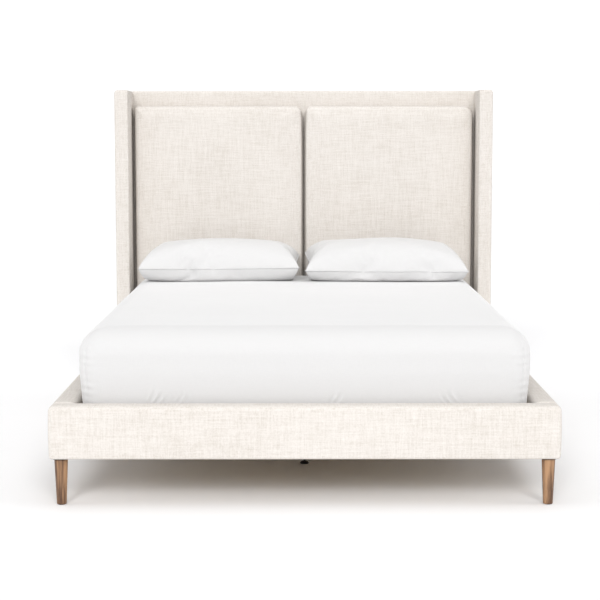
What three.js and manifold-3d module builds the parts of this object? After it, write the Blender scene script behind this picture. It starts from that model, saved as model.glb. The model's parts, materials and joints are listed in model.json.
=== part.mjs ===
// An upholstered bed with a shelter headboard: two side wings, two deep pads, padded rails, a slatted
// base on turned legs, a mattress in its fitted sheet, and two pillows.
// Millimetres. +Z up, -Y the foot end, +X the right side seen from the foot.
// The origin is on the floor, at the centre of the bed's box.
import * as THREE from "three";
import { RoundedBoxGeometry } from "three/addons/geometries/RoundedBoxGeometry.js";
import { mergeVertices } from "three/addons/utils/BufferGeometryUtils.js";
import Module from "manifold-3d";

const wasm = await Module();
wasm.setup();

// ---- Driving dimensions ----

const WIDTH = 1720; // across the rails and the wings
const DEPTH = 2290; // foot rail's front to headboard's back
const HEIGHT = 1440; // floor to the headboard's top
const GAP = 0.3; // between pieces that touch

const HALF = WIDTH / 2;
const FOOT = -DEPTH / 2;
const HEAD = DEPTH / 2;

// Rails
const LEG_HEIGHT = 160; // floor to the rails' underside
const RAIL_TOP = 340;
const RAIL_THICK = 80;
const RAIL_CORE = 30; // thickness of the board inside a rail
const RAIL_PADDING = 20; // padding over the top of that board
const EDGE_RADIUS = 16; // soft edges of the covers
const RAIL_INNER = HALF - RAIL_THICK; // inner face of a side rail
const RAIL_FRONT_END = FOOT + RAIL_THICK; // where the side rails meet the foot rail

// Headboard
const WING_THICK = 62;
const WING_DEPTH = 280; // how far a wing reaches forward of the headboard's back
const WING_BOARD = 20;
const WING_PADDING = 21; // padding around a wing's board
const BOARD_THICK = 70; // headboard between the wings, pads left out
const WING_FRONT = HEAD - WING_DEPTH;
const WING_INNER = HALF - WING_THICK;
const BOARD_FRONT = HEAD - BOARD_THICK;
const COVER_THICK = 8; // thin padding and fabric over the headboard's panel
const BACK_CLOTH = 3;
const BACK_LIP = 40; // how far the cover turns down behind the top
const PANEL_THICK = 12;
const FRAME_THICK = 45; // depth of the headboard's timber
const POST_WIDTH = 60;
const FRAME_BOTTOM = LEG_HEIGHT + 5;
const MIDDLE_RAIL = [780, 840]; // its underside and top
const BOTTOM_RAIL = 100;
const FRAME_HALF = WING_INNER - 4;

// Pads on the headboard
const PAD_THICK = 90;
const PAD_INNER = 8; // half of the slot between the pads
const PAD_OUTER = 784;
const PAD_BOTTOM = 400;
const PAD_TOP = 1370;
const PAD_RADIUS = 30;
const PAD_BOARD = 12;
const PAD_BOARD_INSET = 18;

// Slatted base
const SLAT_COUNT = 12;
const SLAT_WIDTH = 85;
const SLAT_THICK = 20;
const SLAT_TOP = 285;
const SLAT_HALF = RAIL_INNER - 8;
const FIRST_SLAT = FOOT + 140; // centre of the slat nearest the foot
const LAST_SLAT = HEAD - 185; // centre of the slat nearest the head
const LEDGER_WIDTH = 30;
const LEDGER_HEIGHT = 20;
const LEDGER_START = 15; // from the foot rail
const BEAM_WIDTH = 45;
const BEAM_HEIGHT = 60;
const STEEL = 3; // thickness of the brackets
const BRACKET_HEIGHT = 60;
const BRACKET_BOTTOM = 180;
const BRACKET_ARM = 50; // along the foot rail or the headboard
const CORNER_ARM = 60; // along the side rail
const HEAD_ARM_PAST_WING = 90; // how far the head bracket reaches along the side rail
const SCREW_HOLE = 3.2; // radius
const HOLE_SHARES = [0.3, 0.75]; // along each arm, from the bracket's corner
const HANGER_SHELF = 40;
const HANGER_WIDTH = BEAM_WIDTH + 30;

// Legs
const LEG_INSET = 37; // leg's centre from the bed's outer side, at the foot
const REAR_LEG_INSET = WING_THICK / 2;
const LEG_TOP_RADIUS = 23;
const LEG_FOOT_RADIUS = 16.5;
const PLATE_SIZE = 48;
const PLATE_THICK = 2.5;
const PLATE_CORNER = 6;
const PLATE_HOLE = 2.2; // radius
const SUPPORT_RADIUS = 19;
const LEG_FOOT_CHAMFER = 2;
const LEG_TOP_CHAMFER = [1.5, 3]; // across and down
const SUPPORT_PLACES = [-450, 340]; // along the centre beam
const LEVELLER_TRAVEL = 15;
const LEVELLER_RADIUS = 17;
const LEVELLER_NECK = 13; // radius at the top of its foot
const LEVELLER_RIM = 3;
const LEVELLER_FOOT = 8; // height of the foot
const STEM_RADIUS = 5;
const STEM_IN_TUBE = 26; // how far the stem reaches up into the tube when screwed out
const SOCKET_CLEARANCE = 0.5; // around the stem
const SOCKET_SPARE = 5; // above the stem when it is screwed right in

// Bedding
const MATTRESS_WIDTH = 1524;
const MATTRESS_LENGTH = 2032;
const MATTRESS_TOP = 593;
const MATTRESS_FOOT = RAIL_FRONT_END + 10;
const MATTRESS_RADIUS = 70;
const SHEET_THICK = 2;
const SHEET_TUCK = 110; // how far the sheet's hem reaches under the mattress
const PILLOW_DEPTH = 440;
const PILLOW_HEIGHT = 182;
const PILLOW_BACK = BOARD_FRONT - PAD_THICK - 10;
const PILLOWS = { left: [-727, -20], right: [6, 722] };
const SQUARENESS = 5; // of a pillow's outline
const PILLOW_UNDER = 0.62; // share of a pillow's half height that is below its middle

const ROUND_STEPS = 2; // facets on a rounded edge
const TURN_STEPS = 16; // facets on a turned piece

// ---- Materials ----

function material(color, roughness, metalness = 0) {
  return new THREE.MeshStandardMaterial({ color, roughness, metalness });
}

const LINEN = material(0xe3dacd, 0.95);
const SHEET = material(0xeeeeee, 0.9);
const PILLOW = material(0xf4f4f3, 0.9);
const QUILT = material(0xe6e4df, 0.95);
const LEG_WOOD = material(0x8a6038, 0.5);
const PINE = material(0xcfae7c, 0.75);
const SLAT_WOOD = material(0xd8bf93, 0.7);
const PLYWOOD = material(0xbd9a6a, 0.8);
const ZINC = material(0xb4b6b8, 0.4, 1);
const BLACK_STEEL = material(0x1d1d1e, 0.5, 0.6);
const NYLON = material(0x161616, 0.6);

// ---- Ranges, blocks and cuts ----

const middle = ([low, high]) => (low + high) / 2;
const span = ([low, high]) => high - low;
const inset = ([low, high], by) => [low + by, high - by];

function place(name, look, geometry, centre) {
  const mesh = new THREE.Mesh(geometry, look);
  mesh.name = name;
  mesh.position.set(...centre);
  return mesh;
}

function blockGeometry(ranges, radius) {
  const size = ranges.map(span);
  return radius > 0
    ? new RoundedBoxGeometry(...size, ROUND_STEPS, radius)
    : new THREE.BoxGeometry(...size);
}

// A block that fills the x, y and z ranges.
function block(name, look, ranges, radius = 0) {
  return place(name, look, blockGeometry(ranges, radius), ranges.map(middle));
}

function solid(geometry) {
  geometry.deleteAttribute("normal");
  geometry.deleteAttribute("uv");
  const merged = mergeVertices(geometry, 1e-3);
  return new wasm.Manifold(
    new wasm.Mesh({
      numProp: 3,
      vertProperties: merged.attributes.position.array,
      triVerts: new Uint32Array(merged.index.array),
    }),
  );
}

function cut(geometry, tools) {
  const rest = tools.reduce((left, tool) => left.subtract(solid(tool)), solid(geometry));
  const { vertProperties, triVerts } = rest.getMesh();
  const made = new THREE.BufferGeometry();
  made.setAttribute("position", new THREE.BufferAttribute(vertProperties, 3));
  made.setIndex(new THREE.BufferAttribute(triVerts, 1));
  made.computeVertexNormals();
  return made;
}

// A rounded block with another block's room cut out of it, as a cover has for its core.
function shell(name, look, outer, hollow, radius) {
  const offset = hollow.map((range, i) => middle(range) - middle(outer[i]));
  const room = blockGeometry(hollow, 0).translate(...offset);
  return place(name, look, cut(blockGeometry(outer, radius), [room]), outer.map(middle));
}

// A turned piece: points are [radius, height], up the outside, standing on the given place.
function turned(name, look, points, [x, y, z]) {
  const profile = points.map(([radius, height]) => new THREE.Vector2(radius, height));
  const geometry = new THREE.LatheGeometry(profile, TURN_STEPS).rotateX(Math.PI / 2);
  return place(name, look, geometry, [x, y, z]);
}

function polygon(points) {
  return new THREE.Shape(points.map(([x, y]) => new THREE.Vector2(x, y)));
}

// An outline drawn in y and z, pulled along x.
function alongX(shape, length) {
  const axes = new THREE.Matrix4().makeBasis(
    new THREE.Vector3(0, 1, 0),
    new THREE.Vector3(0, 0, 1),
    new THREE.Vector3(1, 0, 0),
  );
  const made = new THREE.ExtrudeGeometry(shape, { depth: length, bevelEnabled: false });
  return made.translate(0, 0, -length / 2).applyMatrix4(axes);
}

// Runs a maker once for each side. Each side is drawn as the right one, and mirrored for the left.
function bothSides(make) {
  const pair = new THREE.Group();
  for (const side of ["left", "right"]) {
    const half = new THREE.Group();
    half.scale.x = side === "left" ? -1 : 1;
    half.add(...make(side));
    pair.add(half);
  }
  return pair;
}

// ---- Headboard ----

const FRAME_Z = [FRAME_BOTTOM, HEIGHT - COVER_THICK - GAP];
const PANEL_Y = [BOARD_FRONT + COVER_THICK + GAP, BOARD_FRONT + COVER_THICK + GAP + PANEL_THICK];
const FRAME_Y = [PANEL_Y[1] + GAP, PANEL_Y[1] + GAP + FRAME_THICK];

function headboardFrame() {
  const between = [-FRAME_HALF + POST_WIDTH + GAP, FRAME_HALF - POST_WIDTH - GAP];
  const rails = {
    headboard_top_rail: [FRAME_Z[1] - POST_WIDTH, FRAME_Z[1]],
    headboard_middle_rail: MIDDLE_RAIL,
    headboard_bottom_rail: [FRAME_BOTTOM, FRAME_BOTTOM + BOTTOM_RAIL],
  };
  const made = new THREE.Group();
  for (const [name, heights] of Object.entries(rails)) {
    made.add(block(name, PINE, [between, FRAME_Y, heights]));
  }
  const posts = bothSides((side) => [
    block(`headboard_post_${side}`, PINE, [[FRAME_HALF - POST_WIDTH, FRAME_HALF], FRAME_Y, FRAME_Z]),
  ]);
  const panel = block("headboard_panel", PLYWOOD, [[-FRAME_HALF, FRAME_HALF], PANEL_Y, FRAME_Z]);
  return made.add(posts, panel);
}

// Front face, top edge and a lip turned down behind, all one piece of padded fabric.
function headboardCover() {
  const inside = BOARD_FRONT + COVER_THICK;
  const lipFront = HEAD - BACK_CLOTH;
  const outline = new THREE.Shape();
  outline.moveTo(BOARD_FRONT, LEG_HEIGHT);
  outline.lineTo(inside, LEG_HEIGHT);
  outline.lineTo(inside, HEIGHT - COVER_THICK);
  outline.lineTo(lipFront, HEIGHT - COVER_THICK);
  outline.lineTo(lipFront, HEIGHT - BACK_LIP);
  outline.lineTo(HEAD, HEIGHT - BACK_LIP);
  outline.lineTo(HEAD, HEIGHT);
  outline.lineTo(BOARD_FRONT + COVER_THICK, HEIGHT);
  outline.absarc(BOARD_FRONT + COVER_THICK, HEIGHT - COVER_THICK, COVER_THICK, Math.PI / 2, Math.PI);
  outline.closePath();
  return place("headboard_cover", LINEN, alongX(outline, 2 * (WING_INNER - GAP)), [0, 0, 0]);
}

function headboardBack() {
  const x = [-FRAME_HALF, FRAME_HALF];
  const y = [HEAD - BACK_CLOTH, HEAD];
  const z = [FRAME_BOTTOM, HEIGHT - BACK_LIP - GAP];
  return block("headboard_back_cover", LINEN, [x, y, z]);
}

function pads() {
  const x = [PAD_INNER, PAD_OUTER];
  const z = [PAD_BOTTOM, PAD_TOP];
  const boardY = [BOARD_FRONT - GAP - PAD_BOARD, BOARD_FRONT - GAP];
  return bothSides((side) => [
    block(`pad_board_${side}`, PLYWOOD, [inset(x, PAD_BOARD_INSET), boardY, inset(z, PAD_BOARD_INSET)]),
    block(`pad_${side}`, LINEN, [x, [BOARD_FRONT - PAD_THICK, boardY[0] - GAP], z], PAD_RADIUS),
  ]);
}

function wings() {
  const x = [WING_INNER, HALF];
  const y = [WING_FRONT, HEAD];
  const z = [LEG_HEIGHT, HEIGHT];
  const boardX = inset(x, WING_PADDING);
  const boardY = inset(y, WING_PADDING);
  const boardTop = HEIGHT - WING_PADDING;
  return bothSides((side) => [
    block(`wing_board_${side}`, PLYWOOD, [boardX, boardY, [LEG_HEIGHT + GAP, boardTop - GAP]]),
    shell(
      `wing_cover_${side}`,
      LINEN,
      [x, y, z],
      [inset(boardX, -GAP), inset(boardY, -GAP), [LEG_HEIGHT - 1, boardTop]],
      EDGE_RADIUS,
    ),
  ]);
}

// ---- Rails ----

// A board in its padded cover. The cover is open underneath, where the fabric is stapled to the board.
function paddedRail(name, x, y, across) {
  const coreRanges = [x, y];
  coreRanges[across] = inset(coreRanges[across], (RAIL_THICK - RAIL_CORE) / 2);
  coreRanges[1 - across] = inset(coreRanges[1 - across], RAIL_PADDING);
  const coreTop = RAIL_TOP - RAIL_PADDING;
  const hollow = [...coreRanges.map((range) => inset(range, -GAP)), [LEG_HEIGHT - 1, coreTop]];
  return [
    block(`${name}_core`, PINE, [...coreRanges, [LEG_HEIGHT + GAP, coreTop - GAP]]),
    shell(`${name}_cover`, LINEN, [x, y, [LEG_HEIGHT, RAIL_TOP]], hollow, EDGE_RADIUS),
  ];
}

function rails() {
  const made = new THREE.Group();
  made.add(...paddedRail("foot_rail", [-HALF, HALF], [FOOT, RAIL_FRONT_END], 1));
  const length = [RAIL_FRONT_END + GAP, WING_FRONT - GAP];
  made.add(bothSides((side) => paddedRail(`side_rail_${side}`, [RAIL_INNER, HALF], length, 0)));
  return made;
}

// ---- Brackets ----

// Flat plates joined at a right angle, standing on edge. The outline starts at the inside corner
// of the two surfaces that the bracket is screwed to, and reaches along x and along y from it.
function cornerBracket(name, corner, reachX, reachY) {
  const [signX, signY] = [Math.sign(reachX), Math.sign(reachY)];
  const points = [
    [0, 0],
    [reachX, 0],
    [reachX, signY * STEEL],
    [signX * STEEL, signY * STEEL],
    [signX * STEEL, reachY],
    [0, reachY],
  ];
  const body = new THREE.ExtrudeGeometry(polygon(points), { depth: BRACKET_HEIGHT, bevelEnabled: false });
  const holes = [];
  for (const share of HOLE_SHARES) {
    const height = BRACKET_HEIGHT / 2;
    const hole = () => new THREE.CylinderGeometry(SCREW_HOLE, SCREW_HOLE, 3 * STEEL, 12);
    holes.push(hole().rotateZ(Math.PI / 2).translate(0, share * reachY, height));
    holes.push(hole().translate(share * reachX, 0, height));
  }
  return place(name, ZINC, cut(body, holes), [...corner, BRACKET_BOTTOM]);
}

function brackets() {
  const inside = RAIL_INNER - GAP;
  const headArm = BOARD_FRONT - WING_FRONT + HEAD_ARM_PAST_WING;
  return bothSides((side) => [
    cornerBracket(`corner_bracket_${side}`, [inside, RAIL_FRONT_END + GAP], -BRACKET_ARM, CORNER_ARM),
    cornerBracket(`head_bracket_${side}`, [inside, BOARD_FRONT - GAP], -BRACKET_ARM, -headArm),
  ]);
}

// A hanger holds one end of the centre beam: a plate against the rail, and a shelf under the beam.
function beamHanger(name, wallY, inward, beamBottom) {
  const outline = polygon([
    [0, BEAM_HEIGHT],
    [0, -STEEL],
    [inward * HANGER_SHELF, -STEEL],
    [inward * HANGER_SHELF, 0],
    [inward * STEEL, 0],
    [inward * STEEL, BEAM_HEIGHT],
  ]);
  return place(name, ZINC, alongX(outline, HANGER_WIDTH), [0, wallY, beamBottom]);
}

// ---- Slatted base ----

const LEDGER_TOP = SLAT_TOP - SLAT_THICK - GAP;
const BEAM_BOTTOM = LEDGER_TOP - BEAM_HEIGHT;

function ledgers() {
  const x = [RAIL_INNER - GAP - LEDGER_WIDTH, RAIL_INNER - GAP];
  const y = [RAIL_FRONT_END + LEDGER_START, BOARD_FRONT - PAD_THICK];
  const z = [LEDGER_TOP - LEDGER_HEIGHT, LEDGER_TOP];
  return bothSides((side) => [block(`slat_ledger_${side}`, PINE, [x, y, z])]);
}

function slats() {
  const made = new THREE.Group();
  const pitch = (LAST_SLAT - FIRST_SLAT) / (SLAT_COUNT - 1);
  for (let i = 0; i < SLAT_COUNT; i++) {
    const centre = FIRST_SLAT + i * pitch;
    const y = [centre - SLAT_WIDTH / 2, centre + SLAT_WIDTH / 2];
    const z = [SLAT_TOP - SLAT_THICK, SLAT_TOP];
    made.add(block(`slat_${i + 1}`, SLAT_WOOD, [[-SLAT_HALF, SLAT_HALF], y, z]));
  }
  return made;
}

function centreBeam() {
  const ends = [RAIL_FRONT_END + GAP, BOARD_FRONT - GAP];
  const length = inset(ends, STEEL + GAP);
  const across = [-BEAM_WIDTH / 2, BEAM_WIDTH / 2];
  return new THREE.Group().add(
    block("centre_beam", PINE, [across, length, [BEAM_BOTTOM, LEDGER_TOP - GAP]]),
    beamHanger("beam_hanger_foot", ends[0], 1, BEAM_BOTTOM - GAP),
    beamHanger("beam_hanger_head", ends[1], -1, BEAM_BOTTOM - GAP),
  );
}

// A support leg is a tube with a threaded socket in its lower end. The leveller's stem goes up into
// it, and its pad stands on the floor.
function supportLegs() {
  const made = new THREE.Group();
  const tubeBottom = LEVELLER_FOOT + LEVELLER_TRAVEL + 1;
  const socket = STEM_RADIUS + SOCKET_CLEARANCE;
  const stemTop = tubeBottom + STEM_IN_TUBE;
  const socketTop = stemTop + LEVELLER_TRAVEL + SOCKET_SPARE;
  const tubeTop = BEAM_BOTTOM - GAP;
  SUPPORT_PLACES.forEach((y, i) => {
    const end = i === 0 ? "foot" : "head";
    const tube = [
      [0, socketTop],
      [socket, socketTop],
      [socket, tubeBottom],
      [SUPPORT_RADIUS, tubeBottom],
      [SUPPORT_RADIUS, tubeTop],
      [0, tubeTop],
    ];
    const foot = [
      [0, 0],
      [LEVELLER_RADIUS, 0],
      [LEVELLER_RADIUS, LEVELLER_RIM],
      [LEVELLER_NECK, LEVELLER_FOOT],
      [STEM_RADIUS, LEVELLER_FOOT],
      [STEM_RADIUS, stemTop],
      [0, stemTop],
    ];
    made.add(turned(`support_leg_${end}`, BLACK_STEEL, tube, [0, y, 0]));
    made.add(turned(`leveller_${end}`, NYLON, foot, [0, y, 0]));
  });
  return made;
}

// ---- Legs ----

// A square plate with rounded corners and a screw hole in each.
function legPlate(name, centre) {
  const reach = PLATE_SIZE / 2 - PLATE_CORNER;
  const outline = new THREE.Shape();
  for (const [i, [x, y]] of [[1, -1], [1, 1], [-1, 1], [-1, -1]].entries()) {
    const start = (i - 1) * (Math.PI / 2);
    outline.absarc(x * reach, y * reach, PLATE_CORNER, start, start + Math.PI / 2);
    const hole = new THREE.Path();
    hole.absarc(x * reach, y * reach, PLATE_HOLE, 0, 2 * Math.PI, true);
    outline.holes.push(hole);
  }
  const settings = { depth: PLATE_THICK, bevelEnabled: false, curveSegments: 3 };
  return place(name, BLACK_STEEL, new THREE.ExtrudeGeometry(outline, settings), centre);
}

function legs() {
  const plateBottom = LEG_HEIGHT - GAP - PLATE_THICK;
  const legTop = plateBottom - GAP;
  const [chamferAcross, chamferDown] = LEG_TOP_CHAMFER;
  const profile = [
    [0, 0],
    [LEG_FOOT_RADIUS - LEG_FOOT_CHAMFER, 0],
    [LEG_FOOT_RADIUS, LEG_FOOT_CHAMFER],
    [LEG_TOP_RADIUS, legTop - chamferDown],
    [LEG_TOP_RADIUS - chamferAcross, legTop],
    [0, legTop],
  ];
  const places = {
    front: [HALF - LEG_INSET, FOOT + RAIL_THICK / 2],
    rear: [HALF - REAR_LEG_INSET, HEAD - RAIL_THICK / 2],
  };
  return bothSides((side) =>
    Object.entries(places).flatMap(([end, [x, y]]) => [
      turned(`leg_${end}_${side}`, LEG_WOOD, profile, [x, y, 0]),
      legPlate(`leg_plate_${end}_${side}`, [x, y, plateBottom]),
    ]),
  );
}

// ---- Bedding ----

// The sheet is a thin skin over the mattress. Its hem is tucked under, around an open middle.
function mattress() {
  const x = [-MATTRESS_WIDTH / 2, MATTRESS_WIDTH / 2];
  const y = [MATTRESS_FOOT, MATTRESS_FOOT + MATTRESS_LENGTH];
  const outer = [x, y, [SLAT_TOP + GAP, MATTRESS_TOP]];
  const inner = outer.map((range) => inset(range, SHEET_THICK));
  const room = blockGeometry(inner, MATTRESS_RADIUS - SHEET_THICK);
  const mouthHeights = [-SHEET_THICK, 2 * SHEET_THICK];
  const mouth = blockGeometry([inset(x, SHEET_TUCK), inset(y, SHEET_TUCK), mouthHeights], 0);
  mouth.translate(0, 0, -span(outer[2]) / 2);
  const skin = cut(blockGeometry(outer, MATTRESS_RADIUS), [room, mouth]);
  const within = SHEET_THICK + GAP;
  const core = outer.map((range) => inset(range, within));
  return new THREE.Group().add(
    block("mattress", QUILT, core, MATTRESS_RADIUS - within),
    place("fitted_sheet", SHEET, skin, outer.map(middle)),
  );
}

// A pillow has a nearly square outline, a crowned top, and a flatter underside where it lies.
function pillowGeometry(width, depth, height) {
  const geometry = new THREE.SphereGeometry(1, 20, 10).rotateX(Math.PI / 2);
  const point = geometry.attributes.position;
  const total = 1 + PILLOW_UNDER;
  for (let i = 0; i < point.count; i++) {
    const angle = Math.atan2(point.getY(i), point.getX(i));
    const parts = [Math.cos(angle), Math.sin(angle)].map((part) => Math.abs(part) ** SQUARENESS);
    const stretch = (parts[0] + parts[1]) ** (-1 / SQUARENESS);
    const up = Math.max(point.getZ(i), -PILLOW_UNDER);
    point.setX(i, (point.getX(i) * stretch * width) / 2);
    point.setY(i, (point.getY(i) * stretch * depth) / 2);
    point.setZ(i, ((up + PILLOW_UNDER) / total) * height);
  }
  return geometry;
}

function pillows() {
  const made = new THREE.Group();
  for (const [side, x] of Object.entries(PILLOWS)) {
    const geometry = pillowGeometry(span(x), PILLOW_DEPTH, PILLOW_HEIGHT);
    const centre = [middle(x), PILLOW_BACK - PILLOW_DEPTH / 2, MATTRESS_TOP + GAP];
    made.add(place(`pillow_${side}`, PILLOW, geometry, centre));
  }
  return made;
}

const bed = new THREE.Group();
bed.add(headboardFrame(), headboardCover(), headboardBack(), pads(), wings());
bed.add(rails(), brackets(), ledgers(), slats(), centreBeam(), supportLegs(), legs());
bed.add(mattress(), pillows());

export default bed;
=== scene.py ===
"""An upholstered queen bed with a winged headboard, made up with a fitted sheet and two pillows.

Metres, +Z up, -Y the foot of the bed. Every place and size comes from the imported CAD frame.
"""

import json
import math

import bpy
import numpy as np
from mathutils import Matrix, Vector


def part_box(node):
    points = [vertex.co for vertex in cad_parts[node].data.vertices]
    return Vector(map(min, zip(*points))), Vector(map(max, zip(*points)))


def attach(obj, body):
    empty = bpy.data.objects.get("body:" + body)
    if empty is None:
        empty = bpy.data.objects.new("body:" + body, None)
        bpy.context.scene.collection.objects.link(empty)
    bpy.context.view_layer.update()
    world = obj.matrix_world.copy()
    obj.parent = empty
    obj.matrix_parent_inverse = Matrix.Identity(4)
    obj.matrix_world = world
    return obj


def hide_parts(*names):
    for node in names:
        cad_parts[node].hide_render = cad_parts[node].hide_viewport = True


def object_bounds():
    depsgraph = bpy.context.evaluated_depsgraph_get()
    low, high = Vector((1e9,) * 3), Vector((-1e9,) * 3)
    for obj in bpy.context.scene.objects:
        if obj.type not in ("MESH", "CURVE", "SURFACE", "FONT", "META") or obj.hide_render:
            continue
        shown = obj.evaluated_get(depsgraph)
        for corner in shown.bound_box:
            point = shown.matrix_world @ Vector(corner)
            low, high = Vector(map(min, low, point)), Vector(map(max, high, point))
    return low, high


FRAME = "bed_frame"  # the body that everything fixed rides on
X, Y, Z = range(3)  # the axes
SIDES = {"left": -1, "right": 1}  # and which way each lies along X
SLAT_COUNT = 12
SLATS = [f"slat_{number}" for number in range(1, SLAT_COUNT + 1)]

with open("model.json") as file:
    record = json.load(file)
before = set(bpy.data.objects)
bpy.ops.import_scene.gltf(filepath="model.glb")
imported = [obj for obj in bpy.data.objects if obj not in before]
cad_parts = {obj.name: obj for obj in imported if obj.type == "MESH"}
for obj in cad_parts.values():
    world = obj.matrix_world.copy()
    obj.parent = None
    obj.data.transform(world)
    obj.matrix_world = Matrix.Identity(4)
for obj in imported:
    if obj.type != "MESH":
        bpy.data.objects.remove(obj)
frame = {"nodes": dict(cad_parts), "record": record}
cad_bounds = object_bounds()
foot_y = cad_bounds[0][Y]


# ---- Camera, floor and light ----

IMAGE_PIXELS = 600
SENSOR = 36.0
FOCAL_PIXELS = 1580.0
CAMERA_DISTANCE = 5.208  # in front of the foot rail
CAMERA_HEIGHT = 1.26
CAMERA_OFFSET = -0.011
PITCH, YAW, ROLL = 6.15, 0.05, -0.058  # degrees: down, round, and about the view


def add_camera():
    data = bpy.data.cameras.new("camera")
    data.sensor_width = SENSOR
    data.lens = FOCAL_PIXELS * SENSOR / IMAGE_PIXELS
    camera = bpy.data.objects.new("camera", data)
    bpy.context.scene.collection.objects.link(camera)
    turn = Matrix.Rotation(math.radians(YAW), 4, "Z")
    tilt = Matrix.Rotation(math.radians(90 - PITCH), 4, "X")
    roll = Matrix.Rotation(math.radians(ROLL), 4, "Z")
    place = Matrix.Translation((CAMERA_OFFSET, foot_y - CAMERA_DISTANCE, CAMERA_HEIGHT))
    camera.matrix_world = place @ turn @ tilt @ roll
    bpy.context.scene.camera = camera


def add_square(name, half, height):
    """A level square around the origin, half being half its side."""
    mesh = bpy.data.meshes.new(name)
    corners = [(x, y, height) for x, y in ((-half, -half), (half, -half), (half, half), (-half, half))]
    mesh.from_pydata(corners, [], [(0, 1, 2, 3)])
    square = bpy.data.objects.new(name, mesh)
    bpy.context.scene.collection.objects.link(square)
    return square


FLOOR_HALF = 30.0
FLOOR_DARK, FLOOR_LIGHT = (0.93, 0.93, 0.935), (0.945, 0.945, 0.95)


def add_floor():
    """A wide pale floor, its tone very slightly uneven."""
    floor = add_square("floor", FLOOR_HALF, 0)
    look = Look("floor", FLOOR_LIGHT, roughness=0.9)
    blotch = look.noise(look.coordinates(), 0.7, detail=3)
    look.colour(look.ramp(blotch, [(0.3, FLOOR_DARK), (0.7, FLOOR_LIGHT)]))
    floor.data.materials.append(look.material)


SKY_LOW, SKY_HIGH, SKY_SEEN = 0.18, 0.90, 1.1  # at the horizon, overhead, and as the camera sees it
NEUTRAL, WARM = (0.99, 0.992, 1), (1, 0.985, 0.98)
SOFTBOXES = [  # name, degrees round from the front, degrees up, strength, degrees wide, colour
    ("front_left", -12, 25, 1.28, 17, NEUTRAL),
    ("front_right", 14, 34, 0.97, 17, WARM),
    ("side_left", -84, 20, 0.6, 30, NEUTRAL),
    ("side_right", 84, 20, 0.6, 30, NEUTRAL),
]


def add_softbox(name, turn, height, strength, width, colour):
    """An even, soft light from far away."""
    data = bpy.data.lights.new(name, "SUN")
    data.energy = strength
    data.angle = math.radians(width)
    data.color = colour
    light = bpy.data.objects.new(name, data)
    light.rotation_euler = (math.radians(90 - height), 0, math.radians(turn))
    bpy.context.scene.collection.objects.link(light)


def add_world():
    """A soft sky, brightest overhead. What the camera sees of it is plain white."""
    world = bpy.data.worlds.new("studio")
    world.use_nodes = True
    tree = world.node_tree
    background = tree.nodes["Background"]
    direction = tree.nodes.new("ShaderNodeTexCoord").outputs["Generated"]
    height = tree.nodes.new("ShaderNodeSeparateXYZ")
    brightness = tree.nodes.new("ShaderNodeMapRange")
    seen = tree.nodes.new("ShaderNodeLightPath").outputs["Is Camera Ray"]
    choice = tree.nodes.new("ShaderNodeMix")
    brightness.inputs["To Min"].default_value = SKY_LOW
    brightness.inputs["To Max"].default_value = SKY_HIGH
    choice.inputs["B"].default_value = SKY_SEEN
    tree.links.new(direction, height.inputs[0])
    tree.links.new(height.outputs["Z"], brightness.inputs["Value"])
    tree.links.new(brightness.outputs["Result"], choice.inputs["A"])
    tree.links.new(seen, choice.inputs["Factor"])
    tree.links.new(choice.outputs["Result"], background.inputs["Strength"])
    background.inputs["Color"].default_value = (1, 1, 1, 1)
    bpy.context.scene.world = world


def add_light():
    add_world()
    bpy.context.scene.view_settings.view_transform = "Standard"
    for softbox in SOFTBOXES:
        add_softbox(*softbox)


# ---- Materials ----


class Look:
    """A material, built from procedural nodes."""

    def __init__(self, name, colour, roughness, metallic=0.0):
        self.material = bpy.data.materials.new(name)
        self.material.use_nodes = True
        self.tree = self.material.node_tree
        self.surface = self.tree.nodes["Principled BSDF"]
        self.set("Base Color", (*colour, 1))
        self.set("Roughness", roughness)
        self.set("Metallic", metallic)

    def set(self, socket, value):
        self.surface.inputs[socket].default_value = value

    def node(self, kind, links=(), **settings):
        made = self.tree.nodes.new("ShaderNode" + kind)
        for key, value in settings.items():
            setattr(made, key, value)
        for socket, value in dict(links).items():
            self.feed(made.inputs[socket], value)
        return made

    def feed(self, socket, value):
        if isinstance(value, bpy.types.NodeSocket):
            self.tree.links.new(value, socket)
        else:
            socket.default_value = value

    def coordinates(self):
        return self.node("TexCoord").outputs["Object"]

    def stretched(self, coordinates, scale):
        return self.node("Mapping", {"Vector": coordinates, "Scale": scale}).outputs["Vector"]

    def noise(self, coordinates, scale, detail=2.0, roughness=0.5):
        links = {"Vector": coordinates, "Scale": scale, "Detail": detail, "Roughness": roughness}
        return self.node("TexNoise", links).outputs["Fac"]

    def math(self, operation, a, b=0.0):
        return self.node("Math", {0: a, 1: b}, operation=operation).outputs[0]

    def total(self, values):
        result = values[0]
        for value in values[1:]:
            result = self.math("ADD", result, value)
        return result

    def remap(self, value, low, high, to_low, to_high):
        links = {"Value": value, "From Min": low, "From Max": high, "To Min": to_low, "To Max": to_high}
        return self.node("MapRange", links).outputs["Result"]

    def ramp(self, value, stops):
        """Colours by value, from (position, colour) stops."""
        made = self.node("ValToRGB", {"Fac": value})
        made.color_ramp.elements[0].position = stops[0][0]
        made.color_ramp.elements[0].color = (*stops[0][1], 1)
        made.color_ramp.elements[1].position = stops[-1][0]
        made.color_ramp.elements[1].color = (*stops[-1][1], 1)
        for position, colour in stops[1:-1]:
            made.color_ramp.elements.new(position).color = (*colour, 1)
        return made.outputs["Color"]

    def colour(self, value):
        self.feed(self.surface.inputs["Base Color"], value)

    def bump(self, height, distance, strength):
        """Adds relief on top of any bump that is already there."""
        links = {"Height": height, "Distance": distance, "Strength": strength}
        if self.surface.inputs["Normal"].is_linked:
            links["Normal"] = self.surface.inputs["Normal"].links[0].from_socket
        self.feed(self.surface.inputs["Normal"], self.node("Bump", links).outputs["Normal"])


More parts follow.
